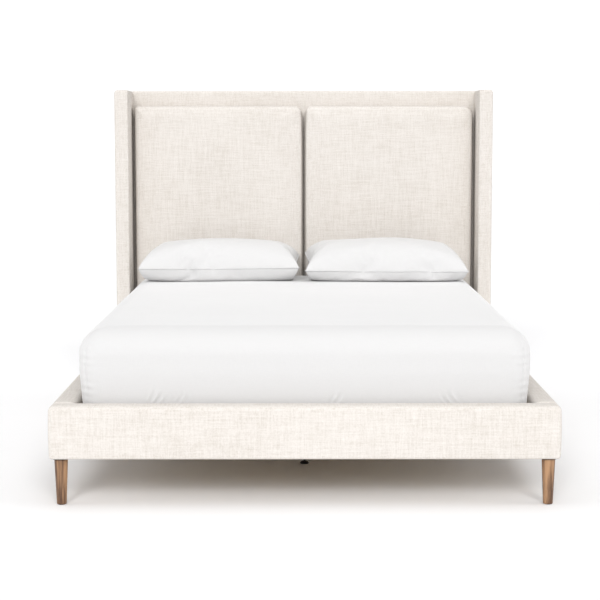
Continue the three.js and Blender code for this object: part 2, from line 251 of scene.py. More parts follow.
def yarn_lattice(look, coordinates, pitch):
    """Yarns crossing over and under on every face that lies along two of the axes."""
    parts = look.node("SeparateXYZ", {"Vector": coordinates})
    phases = [look.math("MULTIPLY", parts.outputs[axis], math.pi / pitch) for axis in (X, Y, Z)]
    waves = [look.math("SINE", phase) for phase in phases]
    crossings = [look.math("MULTIPLY", waves[a], waves[b]) for a, b in ((X, Y), (Y, Z), (Z, X))]
    return look.total(crossings)


def streaks(look, coordinates, length, width, detail=2.0):
    """Noise drawn out along each axis in turn, so that every face shows threads both ways."""
    made = []
    for axis in range(3):
        scale = [1 / width] * 3
        scale[axis] = 1 / length
        made.append(look.noise(look.stretched(coordinates, scale), 1.0, detail))
    return look.math("DIVIDE", look.total(made), 3.0)


def woven_look(name, light, middle, dark, pitch, slub):
    """Plain weave: fine yarns, thicker slubs both ways, and a slow drift of tone."""
    look = Look(name, middle, roughness=0.92)
    where = look.coordinates()
    slubs = streaks(look, where, slub * 14, slub, 3.0)
    threads = streaks(look, where, pitch * 30, pitch * 1.6)
    drift = look.noise(where, 3.0, 3.0)
    shares = [(slubs, 0.6), (threads, 0.32), (drift, 0.08)]
    tone = look.total([look.math("MULTIPLY", part, share) for part, share in shares])
    look.colour(look.ramp(tone, [(0.38, dark), (0.5, middle), (0.62, light)]))
    look.bump(yarn_lattice(look, where, pitch), pitch * 0.3, strength=0.35)
    look.bump(slubs, slub * 0.35, strength=0.5)
    look.set("Specular IOR Level", 0.15)
    return look.material


def cotton_look(name, colour, crease, fuzz):
    """Smooth sheeting: a fine close weave, hardly any slub, and faint soft creases."""
    look = Look(name, colour, roughness=0.85)
    where = look.coordinates()
    threads = streaks(look, where, length=0.02, width=0.0012)
    shade = tuple(0.965 * c for c in colour)
    look.colour(look.ramp(threads, [(0.4, shade), (0.6, colour)]))
    look.bump(yarn_lattice(look, where, pitch=0.0006), 0.0001, strength=0.3)
    creases = look.noise(look.stretched(where, (1.0, 1.6, 1.0)), 7.0, 3.0, 0.55)
    look.bump(creases, crease, strength=0.6)
    look.set("Sheen Weight", fuzz)
    look.set("Specular IOR Level", 0.2)
    return look.material


def wood_look(name, light, dark, along, ring, roughness):
    """Wood with its grain along one axis: rings, and finer fibres between them."""
    look = Look(name, light, roughness)
    where = look.coordinates()
    scale = [1.0] * 3
    scale[along] = 0.06
    drawn = look.stretched(where, scale)
    wobble = look.noise(drawn, 14.0, 4.0, 0.6)
    rings = look.math("SINE", look.math("MULTIPLY", wobble, 2 * math.pi * ring))
    fibres = look.noise(drawn, 240.0, 5.0, 0.75)
    tone = look.total([look.remap(rings, -1, 1, 0, 0.5), look.math("MULTIPLY", fibres, 0.7)])
    middle = tuple((a + b) / 2 for a, b in zip(light, dark))
    look.colour(look.ramp(tone, [(0.3, dark), (0.55, middle), (0.8, light)]))
    look.bump(fibres, 0.0003, strength=0.4)
    return look.material


def plywood_look():
    """Veneer, with its grain running up the sheet."""
    dark, light = (0.50, 0.33, 0.18), (0.72, 0.53, 0.32)
    look = Look("plywood", (0.62, 0.43, 0.24), roughness=0.7)
    drawn = look.stretched(look.coordinates(), (1.0, 1.0, 0.08))
    grain = look.noise(drawn, 90.0, 5.0, 0.65)
    look.colour(look.ramp(grain, [(0.3, dark), (0.7, light)]))
    look.bump(grain, 0.0004, strength=0.4)
    return look.material


def metal_look(name, colour, roughness, mottle, metallic=0.0):
    """Plated or coated steel, or nylon, with fine mottling and a little wear in the gloss."""
    look = Look(name, colour, roughness, metallic)
    where = look.coordinates()
    speck = look.noise(where, 260.0, 4.0, 0.6)
    dark = tuple(c * (1 - mottle) for c in colour)
    look.colour(look.ramp(speck, [(0.35, dark), (0.65, colour)]))
    gloss = look.remap(speck, 0.3, 0.7, roughness - 0.08, roughness + 0.12)
    look.feed(look.surface.inputs["Roughness"], gloss)
    look.bump(speck, 0.0002, strength=0.25)
    return look.material


LINEN = {"light": (0.765, 0.732, 0.695), "middle": (0.685, 0.647, 0.605), "dark": (0.575, 0.532, 0.478)}


def add_looks():
    """Every material, by the name of its slot."""
    return {
        "linen": woven_look("linen", **LINEN, pitch=0.0011, slub=0.005),
        "sheet_cotton": cotton_look("sheet_cotton", (0.650, 0.647, 0.645), crease=0.004, fuzz=0.6),
        "pillow_cotton": cotton_look("pillow_cotton", (0.665, 0.662, 0.66), crease=0.003, fuzz=0.2),
        "quilted_ticking": cotton_look("quilted_ticking", (0.68, 0.67, 0.65), crease=0.002, fuzz=0.15),
        "leg_wood": wood_look("leg_wood", (0.42, 0.24, 0.125), (0.07, 0.030, 0.014), Z, 4, 0.45),
        "pine": wood_look("pine", (0.66, 0.47, 0.27), (0.46, 0.28, 0.13), X, 5, 0.7),
        "slat_wood": wood_look("slat_wood", (0.70, 0.55, 0.36), (0.54, 0.38, 0.21), X, 4, 0.65),
        "plywood": plywood_look(),
        "zinc": metal_look("zinc", (0.62, 0.63, 0.65), roughness=0.35, mottle=0.25, metallic=1.0),
        "black_steel": metal_look("black_steel", (0.03, 0.03, 0.032), roughness=0.45, mottle=0.3),
        "nylon": metal_look("nylon", (0.02, 0.02, 0.02), roughness=0.55, mottle=0.3),
    }


# ---- Meshes ----


def add_object(name, points, faces, look):
    mesh = bpy.data.meshes.new(name)
    mesh.from_pydata([tuple(p) for p in points], [], [tuple(f) for f in faces])
    mesh.update()
    mesh.shade_smooth()
    made = bpy.data.objects.new(name, mesh)
    bpy.context.scene.collection.objects.link(made)
    made.data.materials.append(looks[look])
    return made


def points_of(piece):
    flat = np.empty(3 * len(piece.data.vertices))
    piece.data.vertices.foreach_get("co", flat)
    return flat.reshape(-1, 3)


def move_points(piece, points):
    piece.data.vertices.foreach_set("co", points.ravel())
    piece.data.update()


def apply_modifiers(piece):
    """Replaces the piece's mesh with what its modifiers make of it."""
    graph = bpy.context.evaluated_depsgraph_get()
    done = bpy.data.meshes.new_from_object(piece.evaluated_get(graph))
    piece.modifiers.clear()
    piece.data = done


def refine(piece):
    """Smooths a piece with one level of subdivision."""
    modifier = piece.modifiers.new("refine", "SUBSURF")
    modifier.levels = 1
    modifier.render_levels = 1


def thicken(piece, thickness):
    """Gives an open surface a thickness, inwards from the drawn side."""
    modifier = piece.modifiers.new("thicken", "SOLIDIFY")
    modifier.thickness = thickness
    modifier.offset = -1.0
    modifier.use_even_offset = False


def ticks(low, high, spacing, fine, reach):
    """Grid lines between two ends, closer together within reach of them."""
    length = high - low
    reach = min(reach, length / 2)
    edge = np.linspace(0, reach, max(round(reach / fine), 1) + 1)
    middle = np.linspace(reach, length - reach, max(round((length - 2 * reach) / spacing), 1) + 1)
    return low + np.unique(np.concatenate([edge, middle, length - edge]).round(6))


def box_grid(lines):
    """A closed grid of quads over a box: its points, and its faces as rows of four."""
    count = [len(line) for line in lines]
    on_shell = np.zeros(count, bool)
    for axis in range(3):
        np.swapaxes(on_shell, 0, axis)[[0, -1]] = True
    index = np.full(count, -1)
    index[on_shell] = np.arange(on_shell.sum())
    places = np.argwhere(on_shell)
    points = np.stack([lines[axis][places[:, axis]] for axis in range(3)], 1)
    faces = []
    for axis in range(3):
        for end in (0, -1):
            side = index.take(end, axis)
            corners = [side[:-1, :-1], side[1:, :-1], side[1:, 1:], side[:-1, 1:]]
            quads = np.stack(corners, -1).reshape(-1, 4)
            outward = (end == 0) == (axis == Y)
            faces.append(quads if outward else quads[:, ::-1])
    return points, np.concatenate(faces)


class Slab:
    """A closed grid over a box, ready to be rounded, swelled and cut open.

    axis is the one through its thickness, between its two broad faces, and across holds the other two,
    the axes of its outline. corner holds the radius of the outline's corner nearest to each point.
    """

    def __init__(self, low, high, thickness_axis, spacing, fine, reach):
        self.low, self.high = np.array(low, float), np.array(high, float)
        spacings = np.broadcast_to(spacing, 3)
        lines = [ticks(*ends, fine, reach) for ends in zip(self.low, self.high, spacings)]
        self.points, self.faces = box_grid(lines)
        self.axis = thickness_axis
        self.across = [axis for axis in range(3) if axis != thickness_axis]
        self.corner = np.zeros(len(self.points))

    def nearest(self):
        """The offset of each point from the outline shrunk by its corner's radius."""
        flat = self.points[:, self.across]
        radius = self.corner[:, None]
        return flat - np.clip(flat, self.low[self.across] + radius, self.high[self.across] - radius)

    def outline(self):
        """How far each point is in from the outline, and the outline's outward direction there."""
        out = self.nearest()
        length = np.linalg.norm(out, axis=1)
        inset = self.corner - length
        direction = out / np.maximum(length, 1e-9)[:, None]
        deep = length < 1e-9
        flat = self.points[np.ix_(deep, self.across)]
        gaps = np.concatenate([flat - self.low[self.across], self.high[self.across] - flat], 1)
        outward = np.array([(-1, 0), (0, -1), (1, 0), (0, 1)])
        inset[deep] = gaps.min(1)
        direction[deep] = outward[gaps.argmin(1)]
        return inset, direction

    def depth(self, high_side):
        """How far each point is below one of the two broad faces."""
        place = self.points[:, self.axis]
        return self.high[self.axis] - place if high_side else place - self.low[self.axis]

    def round_outline(self, radius, others=()):
        """Rounds the outline's corners. others gives ((sign, sign), radius) where one differs."""
        middle = (self.low + self.high)[self.across] / 2
        side = np.sign(self.points[:, self.across] - middle)
        self.corner[:] = radius
        for signs, own in others:
            self.corner[(side == signs).all(1)] = own
        out = self.nearest()
        widest = np.abs(out).max(1)
        length = np.linalg.norm(out, axis=1)
        self.points[:, self.across] += out * (widest / np.maximum(length, 1e-9) - 1)[:, None]
        return self

    def round_edge(self, radius, high_side):
        """Rounds the edge around one of the slab's two broad faces."""
        inset, direction = self.outline()
        depth = self.depth(high_side)
        near = (inset < radius) & (depth < radius)
        side, into = radius - inset[near], radius - depth[near]
        scale = np.maximum(side, into) / np.hypot(side, into)
        new_inset, new_depth = radius - side * scale, radius - into * scale
        rows = np.flatnonzero(near)
        self.points[np.ix_(rows, self.across)] += direction[near] * (inset[near] - new_inset)[:, None]
        shift = new_depth - depth[near]
        self.points[rows, self.axis] += -shift if high_side else shift
        return self

    def inset_from_sides(self):
        flat = self.points[:, self.across]
        gaps = np.minimum(flat - self.low[self.across], self.high[self.across] - flat)
        return np.maximum(gaps.min(1), 0)

    def crown(self, height, reach, high_side):
        """Swells one broad face outwards, most in the middle."""
        swell = height * (1 - np.exp(-self.inset_from_sides() / reach))
        thickness = self.high[self.axis] - self.low[self.axis]
        share = np.clip(1 - self.depth(high_side) / thickness, 0, 1) ** 2
        self.points[:, self.axis] += (swell if high_side else -swell) * share
        return self

    def soften(self, amount, size, seed):
        """The slow unevenness that stuffing leaves under the fabric of the broad faces."""
        calm = 1 - np.exp(-self.inset_from_sides() / (size / 3))
        heights = amount * calm * wander(self.points, size, seed)
        self.points += normals_of(self.points, self.faces) * heights[:, None]
        return self

    def push_out(self, distance):
        """Moves the points near the outline outwards, fully up to a corner's radius in from it."""
        inset, direction = self.outline()
        share = np.clip(2 - inset / np.maximum(self.corner, 1e-9), 0, 1)
        self.points[:, self.across] += direction * (distance * share)[:, None]
        return self

    def drop(self, unwanted):
        """Leaves out the faces whose centres the test picks."""
        centres = self.points[self.faces].mean(1)
        self.faces = self.faces[~unwanted(centres)]
        return self

    def build(self, name, look):
        used, faces = np.unique(self.faces, return_inverse=True)
        return add_object(name, self.points[used], faces.reshape(-1, 4), look)


def normals_of(points, faces):
    """Each point's outward direction, averaged from the quads around it."""
    a, b, c, d = (points[faces[:, i]] for i in range(4))
    face_normals = np.cross(c - a, d - b)
    normals = np.zeros_like(points)
    for i in range(4):
        np.add.at(normals, faces[:, i], face_normals)
    return normals / np.maximum(np.linalg.norm(normals, axis=1), 1e-12)[:, None]


def wander(points, size, seed, waves=14):
    """Smooth, seeded unevenness between about -1 and 1, with bumps of about the given size."""
    random = np.random.default_rng(seed)
    directions = random.normal(size=(waves, 3))
    directions /= np.linalg.norm(directions, axis=1)[:, None]
    rates = 2 * math.pi / (size * random.uniform(1.4, 3.2, waves))
    phases = random.uniform(0, 2 * math.pi, waves)
    total = np.sin(points @ (directions * rates[:, None]).T + phases).sum(1)
    return total / math.sqrt(waves)


def inside(centres, low, high, axes=(0, 1)):
    """Which centres lie between low and high on each of the axes."""
    return np.all([(centres[:, a] > low[a]) & (centres[:, a] < high[a]) for a in axes], axis=0)


def lathe(profile, place, steps=48):
    """A turned solid's points and faces. The profile's (radius, height) pairs start and end on the axis."""
    turns = np.arange(steps) * 2 * math.pi / steps
    rings = [np.array(place) + (0, 0, profile[0][1])]
    for radius, height in profile[1:-1]:
        rings.extend(np.array(place) + (radius * math.cos(t), radius * math.sin(t), height) for t in turns)
    rings.append(np.array(place) + (0, 0, profile[-1][1]))
    faces = []
    last = len(profile) - 3
    for i in range(steps):
        j = (i + 1) % steps
        faces.append((0, 1 + j, 1 + i))
        for ring in range(last):
            base = 1 + ring * steps
            faces.append((base + i, base + j, base + steps + j, base + steps + i))
        faces.append((1 + last * steps + i, 1 + last * steps + j, len(rings) - 1))
    return np.array(rings), faces


def tube(path, radius, sides=8):
    """Points and faces of a tube along a closed path."""
    path = np.array(path)
    along = np.roll(path, -1, 0) - np.roll(path, 1, 0)
    along /= np.linalg.norm(along, axis=1)[:, None]
    across = np.cross(along, (0, 0, 1))
    across /= np.linalg.norm(across, axis=1)[:, None]
    up = np.cross(across, along)
    turns = np.arange(sides) * 2 * math.pi / sides
    rings = path[:, None] + radius * (
        across[:, None] * np.cos(turns)[None, :, None] + up[:, None] * np.sin(turns)[None, :, None]
    )
    count = len(path)
    faces = []
    for i in range(count):
        for k in range(sides):
            n, m = (i + 1) % count, (k + 1) % sides
            faces.append((i * sides + k, n * sides + k, n * sides + m, i * sides + m))
    return rings.reshape(-1, 3), faces


def joined(parts):
    """Several (points, faces) pairs as one."""
    points, faces, start = [], [], 0
    for part_points, part_faces in parts:
        points.extend(tuple(p) for p in part_points)
        faces.extend(tuple(start + i for i in face) for face in part_faces)
        start += len(part_points)
    return points, faces


# ---- Cloth ----


CLOTH_CLEARANCE = 0.003


def settle(piece, frames, pressure, weight, gravity=0.0, pinned=(), stiffness=15.0, floor=None):
    """Runs a cloth simulation on a closed piece that is blown up from inside, and keeps the result.

    floor is the height of a level surface for the piece to lie on.
    """
    ground = None if floor is None else add_ground(floor)
    modifier = piece.modifiers.new("cloth", "CLOTH")
    cloth = modifier.settings
    cloth.quality = 8
    cloth.mass = weight
    cloth.tension_stiffness = stiffness
    cloth.compression_stiffness = stiffness
    cloth.shear_stiffness = 0.4 * stiffness
    cloth.bending_stiffness = 1.0
    cloth.tension_damping = cloth.compression_damping = cloth.shear_damping = 10
    cloth.use_pressure = True
    cloth.uniform_pressure_force = pressure
    cloth.effector_weights.gravity = gravity
    modifier.collision_settings.use_collision = ground is not None
    modifier.collision_settings.distance_min = CLOTH_CLEARANCE
    modifier.collision_settings.collision_quality = 3
    modifier.point_cache.frame_end = frames
    if len(pinned):
        group = piece.vertex_groups.new(name="pinned")
        group.add([int(i) for i in pinned], 1.0, "REPLACE")
        cloth.vertex_group_mass = "pinned"
    for frame_number in range(1, frames + 1):
        bpy.context.scene.frame_set(frame_number)
    apply_modifiers(piece)
    piece.vertex_groups.clear()
    bpy.context.scene.frame_set(1)
    if ground:
        bpy.data.objects.remove(ground)


def add_ground(height):
    """A level surface that cloth can't pass, only there during a simulation."""
    ground = add_square("ground", 2, height)
    ground.modifiers.new("collision", "COLLISION")
    ground.collision.thickness_outer = CLOTH_CLEARANCE
    ground.collision.cloth_friction = 20
    return ground


def cap_movement(piece, start, limit):
    """Keeps each point within limit of where it started."""
    moved = points_of(piece) - start
    length = np.linalg.norm(moved, axis=1)
    short = np.minimum(1, limit / np.maximum(length, 1e-9))
    move_points(piece, start + moved * short[:, None])


# ---- Upholstery ----

FABRIC = 0.0025  # fabric with its lining
STAPLE_STRIP = 0.006  # how far from the underside a cover's open middle is looked for

# Rounding radii: of a piece's outline, and of the edges of its broad faces.
WING_CORNER, WING_OUTER_EDGE, WING_INNER_EDGE = 0.012, 0.016, 0.007
PAD_FRONT_EDGE, PAD_BACK_EDGE = 0.015, 0.006
BORDER_CORNER, BORDER_EDGE = 0.005, 0.009
BACK_CORNER, BACK_EDGE = 0.004, 0.0014
RAIL_CORNER, RAIL_TOP_EDGE, RAIL_BOTTOM_EDGE = 0.016, 0.016, 0.008


def finish_cover(slab, name, node):
    """Fabric over a board: gives the slab its thickness and stands it in for the CAD cover."""
    piece = slab.build(name, "linen")
    thicken(piece, FABRIC)
    refine(piece)
    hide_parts(node)
    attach(piece, FRAME)


def add_wing(side):
    node = f"wing_cover_{side}"
    low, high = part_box(node)
    board_low, board_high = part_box(f"wing_board_{side}")
    slab = Slab(low, high, X, spacing=0.02, fine=0.005, reach=0.03)
    outer_is_high = SIDES[side] > 0
    slab.round_outline(WING_CORNER)
    slab.round_edge(WING_OUTER_EDGE, outer_is_high).round_edge(WING_INNER_EDGE, not outer_is_high)
    for high_side in (True, False):
        slab.crown(0.002, reach=0.04, high_side=high_side)
    slab.soften(0.0004, size=0.25, seed=11 + SIDES[side])
    slab.drop(lambda at: (at[:, Z] < low.z + STAPLE_STRIP) & inside(at, board_low, board_high))
    finish_cover(slab, f"wing_upholstery_{side}", node)


# The pads' corners, by (side, up): the two nearest the slot are rounder at the top.
PAD_CORNER = 0.03
PAD_CORNERS = {
    "left": [((-1, 1), 0.018), ((1, 1), 0.032)],
    "right": [((-1, 1), 0.026), ((1, 1), 0.046)],
}
PAD_SWELL = 0.004  # how far the filling pushes the fabric out, at most
PAD_FACE = 0.028  # how deep the part of a pad is that the filling moves
PAD_STANDOFF = 0.001  # between a pad's back and the cover behind it
SLOT_FILL = 0.003  # how far each pad's side swells into the slot between them
SLOT_TAPER = 0.007  # how far it draws back from the slot at the top
TAPER_HEIGHT, TAPER_WIDTH = 0.05, 0.1  # where that fades: down from the top, and in from the slot


def add_pad(side):
    node = f"pad_{side}"
    low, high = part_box(node)
    outward = SIDES[side]
    slot_edge = low.x if outward > 0 else high.x
    filled_edge = slot_edge - outward * SLOT_FILL
    front = low.y + PAD_SWELL
    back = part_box("headboard_cover")[0].y - PAD_STANDOFF
    start = (min(low.x, filled_edge), front, low.z)
    end = (max(high.x, filled_edge), back, high.z)
    slab = Slab(start, end, Y, spacing=0.02, fine=0.007, reach=0.042)
    slab.round_outline(PAD_CORNER, PAD_CORNERS[side])
    slab.round_edge(PAD_FRONT_EDGE, False).round_edge(PAD_BACK_EDGE, True)
    slab.crown(0.002, reach=0.08, high_side=False)
    beside = np.clip(1 - np.abs(slab.points[:, X] - slot_edge) / TAPER_WIDTH, 0, 1)
    taper = np.exp((slab.points[:, Z] - high.z) / TAPER_HEIGHT) * beside
    slab.points[:, X] += outward * SLOT_TAPER * taper
    piece = slab.build(f"headboard_pad_{side}", "linen")
    drawn = points_of(piece)
    held = np.flatnonzero(drawn[:, Y] > front + PAD_FACE)
    settle(piece, frames=20, pressure=4, pinned=held, weight=0.02, stiffness=25)
    cap_movement(piece, drawn, PAD_SWELL)
    refine(piece)
    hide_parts(node)
    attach(piece, FRAME)


PRESSED = 0.004  # how far the headboard's soft sides press into the wings
BACK_STRIP = 0.052  # how far the cover turns down behind, its end under the back cover


def add_headboard_cover():
    """The border around the pads: front, top edge, and a strip turned down behind."""
    node = "headboard_cover"
    low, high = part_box(node)
    back_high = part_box("headboard_back_cover")[1]
    press = Vector((PRESSED, 0, 0))
    slab = Slab(low - press, high + press, Y, spacing=0.03, fine=0.005, reach=BACK_STRIP)
    slab.round_outline(BORDER_CORNER).round_edge(BORDER_EDGE, False).round_edge(BORDER_EDGE, True)
    slab.soften(0.0006, size=0.2, seed=31)
    behind = high.y - STAPLE_STRIP
    tucked = (slab.points[:, Y] > behind) & (slab.points[:, Z] < back_high.z - 0.001)
    slab.points[tucked, Y] -= 2 * FABRIC
    strip_end = high.z - BACK_STRIP
    slab.drop(lambda at: (at[:, Z] < low.z + STAPLE_STRIP) | ((at[:, Y] > behind) & (at[:, Z] < strip_end)))
    finish_cover(slab, "headboard_upholstery", node)


FOLD = 0.0012  # how much thicker the back cover is where its edge is folded in
FOLD_INSET = 0.006  # of the fold's middle, and half its width
SLACK = 0.0012  # how far the rest stands off and in


def add_back_cover():
    """The flat cover behind, its edge folded in, its top under the turned strip."""
    node = "headboard_back_cover"
    low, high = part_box(node)
    slab = Slab(low, high, Y, spacing=0.03, fine=0.004, reach=0.012)
    slab.round_outline(BACK_CORNER).round_edge(BACK_EDGE, True)
    inset = slab.inset_from_sides()
    fold = FOLD * np.exp(-(((inset - FOLD_INSET) / FOLD_INSET) ** 2))
    slack = SLACK * (1 - np.exp(-inset / 0.06)) * wander(slab.points, size=0.35, seed=37)
    outer = slab.points[:, Y] > (low.y + high.y) / 2
    slab.points[:, Y] += np.where(outer, fold + slack - FOLD, 0)
    piece = slab.build("headboard_back", "linen")
    refine(piece)
    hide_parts(node)
    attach(piece, FRAME)


RAIL_BULGE = 0.0025  # how far a rail's padding swells out, halfway up


def add_rail(name):
    """A padded rail: the fabric turns under the board and stops short of its middle."""
    node = f"{name}_cover"
    low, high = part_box(node)
    core_low, core_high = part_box(f"{name}_core")
    slab = Slab(low, high, Z, spacing=0.025, fine=0.005, reach=0.03)
    slab.round_outline(RAIL_CORNER).round_edge(RAIL_TOP_EDGE, True).round_edge(RAIL_BOTTOM_EDGE, False)
    slab.crown(0.003, reach=0.03, high_side=True)
    slab.soften(0.0005, size=0.2, seed=41 + len(name))
    slab.push_out(bulge(slab.points[:, Z], low.z, high.z, RAIL_BULGE))
    slab.drop(lambda at: (at[:, Z] < low.z + STAPLE_STRIP) & inside(at, core_low, core_high))
    finish_cover(slab, f"{name}_upholstery", node)


def bulge(heights, low, high, amount):
    """How far a padded wall swells out, from nothing at its low and high edges."""
    share = np.clip((heights - low) / (high - low), 0, 1)
    return amount * np.sin(math.pi * share)


# ---- Bedding ----

SHEET_CLOTH = 0.0012  # thickness
SHEET_TUCK = 0.11  # how far it goes under the mattress
MATTRESS_CORNER = 0.070
MATTRESS_TOP_EDGE, MATTRESS_BOTTOM_EDGE = 0.094, 0.040
WALL_FULLNESS = 0.011  # how far the walls stand out in their upper half
WALL_TAPER = 0.014  # how much further in they are at their foot
WALL_REACH = 0.12  # how far in from the outline that shape fades out
HEAD_ROOM = 0.002  # how far the head end may bulge, short of the pads that it slides up past


def mattress_slab(low, high, spacing, fine):
    """Soft top edges, and full walls that taper down into the frame."""
    slab = Slab(low, high, Z, spacing, fine, reach=0.13)
    slab.round_outline(MATTRESS_CORNER)
    slab.round_edge(MATTRESS_TOP_EDGE, True).round_edge(MATTRESS_BOTTOM_EDGE, False)
    height = (slab.points[:, Z] - low.z) / (high.z - low.z)
    fullness = WALL_FULLNESS - WALL_TAPER * np.clip(1 - 2 * height, 0, 1)
    near_wall = np.clip(1 - slab.inset_from_sides() / WALL_REACH, 0, 1)
    slab.push_out(fullness * near_wall)
    slab.points[:, Y] = np.minimum(slab.points[:, Y], high.y + HEAD_ROOM)
    return slab


FAR = 1.0  # stands for anywhere off the corners


def seam_distance(slab):
    """How far round its corner each point is from the corner's vertical seam."""
    direction = slab.outline()[1]
    angle = np.arctan2(np.abs(direction[:, 1]), np.abs(direction[:, 0])) - math.pi / 4
    on_corner = np.abs(direction).min(1) > 0.02
    return np.where(on_corner, MATTRESS_CORNER * angle, FAR)


# Where the tucked sheet puckers along the foot: x, half the width, and which way the folds lean.
PUCKERS = [(-0.47, 0.075, 0.9), (0.50, 0.045, -1.0), (0.10, 0.03, 0.8)]
PUCKER_HEIGHT = 0.066  # of their middle, above the sheet's bottom
PUCKER_PITCH, PUCKER_DEPTH = 0.024, 0.0042


def fan(points, low, x, half, lean):
    """A few short slanting folds just above the rail, by how far they push the sheet out."""
    height = points[:, Z] - low.z
    off = points[:, X] - x
    uneven = 0.6 + 0.4 * np.sin(off * 2 * math.pi / 0.11 + 5 * x)
    tall = 0.016 + 0.010 * uneven
    near = np.exp(-((off / half) ** 4) - ((height - PUCKER_HEIGHT) / tall) ** 2)
    at_foot = points[:, Y] < low.y + MATTRESS_CORNER
    bend = 9 * lean * (height - 0.05) ** 2
    wave = np.sin((off - lean * height + bend + 0.006 * uneven) * 2 * math.pi / PUCKER_PITCH)
    return PUCKER_DEPTH * uneven * near * wave * at_foot


SEAM_DEPTH, SEAM_WIDTH = 0.0035, 0.005
GATHER_DEPTH, GATHER_REACH, GATHER_PITCH = 0.0016, 0.03, 0.026
SEAM_TOP = 0.27  # how far above the sheet's bottom a corner's seam ends
RIPPLE, RIPPLE_FROM = 0.0014, 0.25  # the slow unevenness of the top, and the height where it begins
FADE = 0.05  # the height over which each of those two comes and goes


def corner_seams(slab, height):
    """The dart and small gathers at each corner, by how far they push the sheet out."""
    off_seam = seam_distance(slab)
    below_top = np.clip((SEAM_TOP - height) / FADE, 0, 1)
    groove = -SEAM_DEPTH * np.exp(-((off_seam / SEAM_WIDTH) ** 2)) * below_top
    waves = np.sin(height * 2 * math.pi / GATHER_PITCH)
    return groove + GATHER_DEPTH * np.exp(-np.abs(off_seam) / GATHER_REACH) * waves * below_top


def add_sheet():
    """The fitted sheet, tucked under all round, its hem an open edge beneath the mattress."""
    low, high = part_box("fitted_sheet")
    slab = mattress_slab(low, high, spacing=(0.0065, 0.022, 0.010), fine=0.0065)
    height = slab.points[:, Z] - low.z
    puckers = sum(fan(slab.points, low, *place) for place in PUCKERS)
    slab.push_out(corner_seams(slab, height) + puckers)
    top = np.clip((height - RIPPLE_FROM) / FADE, 0, 1)
    slab.points[:, Z] += top * RIPPLE * wander(slab.points, size=0.30, seed=57)
    hem_low, hem_high = low + Vector((1, 1, 0)) * SHEET_TUCK, high - Vector((1, 1, 0)) * SHEET_TUCK
    slab.drop(lambda at: (at[:, Z] < low.z + 0.003) & inside(at, hem_low, hem_high))
    piece = slab.build("sheet", "sheet_cotton")
    thicken(piece, SHEET_CLOTH)
    refine(piece)
    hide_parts("fitted_sheet")
    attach(piece, "mattress")


QUILT_PITCH = 0.09
QUILT_DEPTH = 0.003
SHEET_CLEARANCE = 0.0025  # how far the mattress keeps in from its sheet


def add_mattress():
    """The mattress under its sheet. Its bottom, seen between the slats, is quilted in diamonds."""
    low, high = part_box("mattress")
    slab = mattress_slab(low, high, spacing=0.018, fine=0.012)
    x, y, z = slab.points.T
    lines = [np.abs(np.sin((x + sign * y) * math.pi / QUILT_PITCH)) for sign in (-1, 1)]
    under = z < low.z + 0.01
    slab.points[:, Z] += np.where(under, QUILT_DEPTH * (1 - np.minimum(*lines) ** 0.6), 0)
    slab.push_out(-SHEET_CLEARANCE)
    piece = slab.build("mattress_body", "quilted_ticking")
    refine(piece)
    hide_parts("mattress")
    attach(piece, "mattress")


PILLOWCASE = (0.762, 0.508)  # laid flat
PILLOW_PRESSURE = 4.6
PILLOW_PRESS = 0.042  # how far its own weight presses a pillow into the bed
PILLOW_DROP = 0.06  # the height that it falls from, to the middle of the flat case
SEAM_RADIUS = 0.0018
END_FILL = 0.7  # how much fuller the ends are than under pressure alone
LIFT = 0.034  # of each pillow's inner back corner
TUCK = 0.040  # of its outer back corner, inwards
BACK_REACH, SIDE_REACH = 0.6, 0.35  # of both, as shares of half the pillow


def envelope(width, depth, spacing, puff):
    """Two layers of fabric sewn together along their border, and the border's points in order."""
    across, deep = round(width / spacing), round(depth / spacing)
    points, number = [], {}

    def point(i, j, layer):
        on_border = i in (0, across) or j in (0, deep)
        key = (i, j, 0 if on_border else layer)
        if key not in number:
            number[key] = len(points)
            arch = math.sin(math.pi * i / across) * math.sin(math.pi * j / deep)
            rise = 0 if on_border else math.sqrt(arch)
            points.append(((i / across - 0.5) * width, (j / deep - 0.5) * depth, layer * puff * rise))
        return number[key]

    faces = []
    for i in range(across):
        for j in range(deep):
            for layer in (1, -1):
                corners = [(i, j), (i + 1, j), (i + 1, j + 1), (i, j + 1)]
                faces.append([point(*corner, layer) for corner in corners][::layer])
    around = [(i, 0) for i in range(across)] + [(across, j) for j in range(deep)]
    around += [(i, deep) for i in range(across, 0, -1)] + [(0, j) for j in range(deep, 0, -1)]
    return np.array(points), faces, [number[i, j, 0] for i, j in around]


def flatten_under(heights, press, softness=0.012):
    """Presses the lowest part of a pillow flat against the bed."""
    above = (heights - heights.min() - press) / softness
    pressed = softness * np.logaddexp(0, above)
    return pressed - pressed.min()


def fit_to_box(points, low, high):
    """Centres and scales points to fill a box."""
    points = points - (points.min(0) + points.max(0)) / 2
    points = points * (np.array(high) - np.array(low)) / (2 * points.max(0))
    return points + (np.array(high) + np.array(low)) / 2


def plump_ends(points):
    """Fills out a pillow's ends, so that they rise steeply from the seam."""
    along = np.abs(points[:, X]) / np.abs(points[:, X]).max()
    points[:, X] *= 1 + END_FILL * along * (1 - along)
    return points


def lay_corners(points, side):
    """The back corners as the pillows were dropped: the inner one stands up, the outer one is drawn in."""
    sign = SIDES[side]
    half = np.abs(points[:, :2]).max(0)
    outward = sign * points[:, X] / half[X]
    back = np.exp(-(((points[:, Y] / half[Y] - 1) / BACK_REACH) ** 2))
    inner = back * np.exp(-(((outward + 1) / SIDE_REACH) ** 2))
    outer = back * np.exp(-(((outward - 1) / SIDE_REACH) ** 2))
    moved = points.copy()
    moved[:, Z] += LIFT * inner
    moved[:, X] -= sign * TUCK * outer
    return moved


